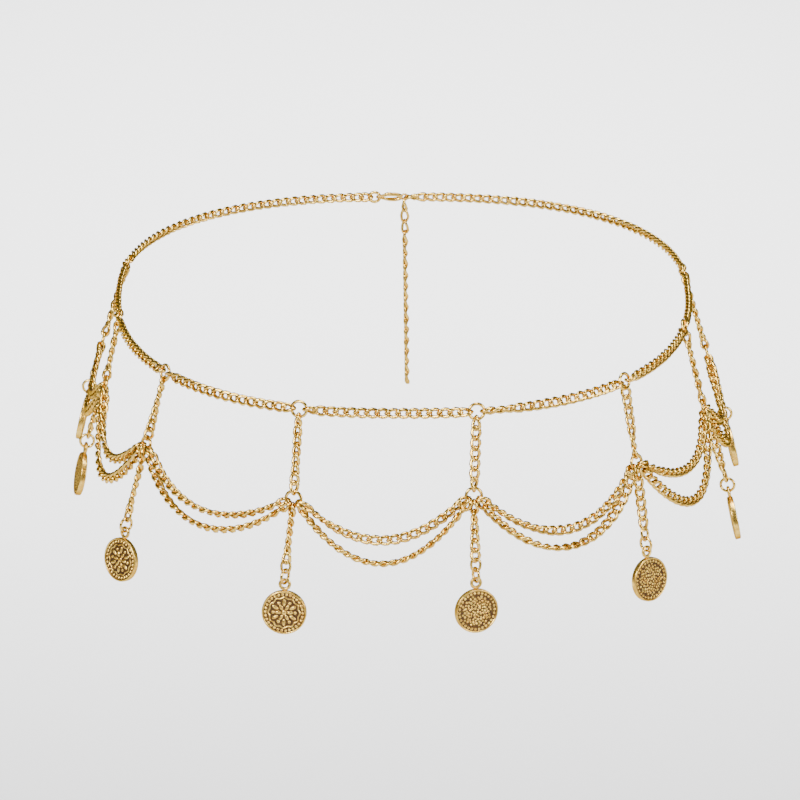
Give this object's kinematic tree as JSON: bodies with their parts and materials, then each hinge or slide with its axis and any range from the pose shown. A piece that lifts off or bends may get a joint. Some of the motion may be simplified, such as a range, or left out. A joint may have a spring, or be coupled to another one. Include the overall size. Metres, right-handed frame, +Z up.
{
  "type": "coin tassel waist chain",
  "caption": "Gold-tone curb chain worn round the hips: a belt with clasp and extension chain, hanging strands with coin tassels, and chain swags between them.",
  "frame": {"origin": "middle of the belt loop at the height of the belt's sides, the place where the wearer's hips hold it", "axes": "+X to the wearer's left, -Y to the wearer's front, +Z up"},
  "size_m": [0.3442, 0.3774, 0.1375],
  "materials": {
    "belt_1": "polished gold-tone plating",
    "belt_2": "polished gold-tone plating",
    "belt_3": "polished gold-tone plating",
    "belt_4": "polished gold-tone plating",
    "belt_5": "polished gold-tone plating",
    "belt_6": "polished gold-tone plating",
    "belt_7": "polished gold-tone plating",
    "belt_back_left": "polished gold-tone plating",
    "belt_back_right": "polished gold-tone plating",
    "clasp": "polished gold-tone plating",
    "coin_1": "antiqued gold-tone plating",
    "coin_2": "antiqued gold-tone plating",
    "coin_3": "antiqued gold-tone plating",
    "coin_4": "antiqued gold-tone plating",
    "coin_5": "antiqued gold-tone plating",
    "coin_6": "antiqued gold-tone plating",
    "coin_7": "antiqued gold-tone plating",
    "coin_8": "antiqued gold-tone plating",
    "drop_1": "polished gold-tone plating",
    "drop_2": "polished gold-tone plating",
    "drop_3": "polished gold-tone plating",
    "drop_4": "polished gold-tone plating",
    "drop_5": "polished gold-tone plating",
    "drop_6": "polished gold-tone plating",
    "drop_7": "polished gold-tone plating",
    "drop_8": "polished gold-tone plating",
    "end_ring": "polished gold-tone plating",
    "hanger_1": "polished gold-tone plating",
    "hanger_2": "polished gold-tone plating",
    "hanger_3": "polished gold-tone plating",
    "hanger_4": "polished gold-tone plating",
    "hanger_5": "polished gold-tone plating",
    "hanger_6": "polished gold-tone plating",
    "hanger_7": "polished gold-tone plating",
    "hanger_8": "polished gold-tone plating",
    "jump_ring_1": "polished gold-tone plating",
    "jump_ring_2": "polished gold-tone plating",
    "jump_ring_3": "polished gold-tone plating",
    "jump_ring_4": "polished gold-tone plating",
    "jump_ring_5": "polished gold-tone plating",
    "jump_ring_6": "polished gold-tone plating",
    "jump_ring_7": "polished gold-tone plating",
    "jump_ring_8": "polished gold-tone plating",
    "swag_lower_1": "polished gold-tone plating",
    "swag_lower_2": "polished gold-tone plating",
    "swag_lower_3": "polished gold-tone plating",
    "swag_lower_4": "polished gold-tone plating",
    "swag_lower_5": "polished gold-tone plating",
    "swag_lower_6": "polished gold-tone plating",
    "swag_lower_7": "polished gold-tone plating",
    "swag_upper_1": "polished gold-tone plating",
    "swag_upper_2": "polished gold-tone plating",
    "swag_upper_3": "polished gold-tone plating",
    "swag_upper_4": "polished gold-tone plating",
    "swag_upper_5": "polished gold-tone plating",
    "swag_upper_6": "polished gold-tone plating",
    "swag_upper_7": "polished gold-tone plating",
    "tail": "polished gold-tone plating"
  },
  "bodies": {
    "waist_chain": {"belt_1": "belt_1", "belt_2": "belt_2", "belt_3": "belt_3", "belt_4": "belt_4", "belt_5": "belt_5", "belt_6": "belt_6", "belt_7": "belt_7", "belt_back_left": "belt_back_left", "belt_back_right": "belt_back_right", "clasp": "clasp", "drop_1": "drop_1", "drop_2": "drop_2", "drop_3": "drop_3", "drop_4": "drop_4", "drop_5": "drop_5", "drop_6": "drop_6", "drop_7": "drop_7", "drop_8": "drop_8", "end_ring": "end_ring", "hanger_1": "hanger_1", "hanger_2": "hanger_2", "hanger_3": "hanger_3", "hanger_4": "hanger_4", "hanger_5": "hanger_5", "hanger_6": "hanger_6", "hanger_7": "hanger_7", "hanger_8": "hanger_8", "swag_lower_1": "swag_lower_1", "swag_lower_2": "swag_lower_2", "swag_lower_3": "swag_lower_3", "swag_lower_4": "swag_lower_4", "swag_lower_5": "swag_lower_5", "swag_lower_6": "swag_lower_6", "swag_lower_7": "swag_lower_7", "swag_upper_1": "swag_upper_1", "swag_upper_2": "swag_upper_2", "swag_upper_3": "swag_upper_3", "swag_upper_4": "swag_upper_4", "swag_upper_5": "swag_upper_5", "swag_upper_6": "swag_upper_6", "swag_upper_7": "swag_upper_7", "tail": "tail"},
    "jump_body_1": {"jump_ring_1": "jump_ring_1"},
    "coin_body_1": {"coin_1": "coin_1"},
    "jump_body_2": {"jump_ring_2": "jump_ring_2"},
    "coin_body_2": {"coin_2": "coin_2"},
    "jump_body_3": {"jump_ring_3": "jump_ring_3"},
    "coin_body_3": {"coin_3": "coin_3"},
    "jump_body_4": {"jump_ring_4": "jump_ring_4"},
    "coin_body_4": {"coin_4": "coin_4"},
    "jump_body_5": {"jump_ring_5": "jump_ring_5"},
    "coin_body_5": {"coin_5": "coin_5"},
    "jump_body_6": {"jump_ring_6": "jump_ring_6"},
    "coin_body_6": {"coin_6": "coin_6"},
    "jump_body_7": {"jump_ring_7": "jump_ring_7"},
    "coin_body_7": {"coin_7": "coin_7"},
    "jump_body_8": {"jump_ring_8": "jump_ring_8"},
    "coin_body_8": {"coin_8": "coin_8"}
  },
  "joints": [
    {"name": "jump_swing_1", "type": "hinge", "parent": "waist_chain", "child": "jump_body_1", "pos_m": [-0.16203, 0.02523, -0.06287], "axis": [-0.1055, -0.9931, -0.0504], "range_deg": [-80, 80]},
    {"name": "coin_swing_1", "type": "hinge", "parent": "jump_body_1", "child": "coin_body_1", "pos_m": [-0.16309, 0.02509, -0.06795], "axis": [-0.9743, 0.0868, 0.2078], "range_deg": [-80, 80]},
    {"name": "jump_swing_2", "type": "hinge", "parent": "waist_chain", "child": "jump_body_2", "pos_m": [-0.1596, -0.05473, -0.05905], "axis": [0.092, -0.9869, -0.1326], "range_deg": [-80, 80]},
    {"name": "coin_swing_2", "type": "hinge", "parent": "jump_body_2", "child": "coin_body_2", "pos_m": [-0.16059, -0.05514, -0.06414], "axis": [-0.9697, -0.1303, 0.2068], "range_deg": [-80, 80]},
    {"name": "jump_swing_3", "type": "hinge", "parent": "waist_chain", "child": "jump_body_3", "pos_m": [-0.13702, -0.13234, -0.07105], "axis": [0.5159, -0.8546, -0.0593], "range_deg": [-80, 80]},
    {"name": "coin_swing_3", "type": "hinge", "parent": "jump_body_3", "child": "coin_body_3", "pos_m": [-0.13772, -0.13301, -0.07615], "axis": [-0.7375, -0.6477, 0.191], "range_deg": [-80, 80]},
    {"name": "jump_swing_4", "type": "hinge", "parent": "waist_chain", "child": "jump_body_4", "pos_m": [-0.05753, -0.19241, -0.07176], "axis": [0.9558, -0.2873, -0.0626], "range_deg": [-80, 80]},
    {"name": "coin_swing_4", "type": "hinge", "parent": "jump_body_4", "child": "coin_body_4", "pos_m": [-0.05764, -0.1931, -0.0769], "axis": [-0.4982, -0.857, 0.1314], "range_deg": [-80, 80]},
    {"name": "jump_swing_5", "type": "hinge", "parent": "waist_chain", "child": "jump_body_5", "pos_m": [0.03522, -0.1967, -0.06902], "axis": [0.9893, 0.1457, 0.0027], "range_deg": [-80, 80]},
    {"name": "coin_swing_5", "type": "hinge", "parent": "jump_body_5", "child": "coin_body_5", "pos_m": [0.03528, -0.19737, -0.07416], "axis": [0.4111, -0.9029, 0.1259], "range_deg": [-80, 80]},
    {"name": "jump_swing_6", "type": "hinge", "parent": "waist_chain", "child": "jump_body_6", "pos_m": [0.11906, -0.15553, -0.071], "axis": [0.7035, 0.7066, -0.0757], "range_deg": [-80, 80]},
    {"name": "coin_swing_6", "type": "hinge", "parent": "jump_body_6", "child": "coin_body_6", "pos_m": [0.11962, -0.15622, -0.07612], "axis": [0.7092, -0.683, 0.175], "range_deg": [-80, 80]},
    {"name": "jump_swing_7", "type": "hinge", "parent": "waist_chain", "child": "jump_body_7", "pos_m": [0.16354, -0.06566, -0.07859], "axis": [0.1494, 0.9854, 0.082], "range_deg": [-80, 80]},
    {"name": "coin_swing_7", "type": "hinge", "parent": "jump_body_7", "child": "coin_body_7", "pos_m": [0.16452, -0.06608, -0.08367], "axis": [0.9634, -0.1716, 0.2059], "range_deg": [-80, 80]},
    {"name": "jump_swing_8", "type": "hinge", "parent": "waist_chain", "child": "jump_body_8", "pos_m": [0.16616, 0.01905, -0.07558], "axis": [-0.0645, 0.9979, -0.0043], "range_deg": [-80, 80]},
    {"name": "coin_swing_8", "type": "hinge", "parent": "jump_body_8", "child": "coin_body_8", "pos_m": [0.16722, 0.01892, -0.08065], "axis": [0.9762, 0.0618, 0.2081], "range_deg": [-80, 80]}
  ]
}
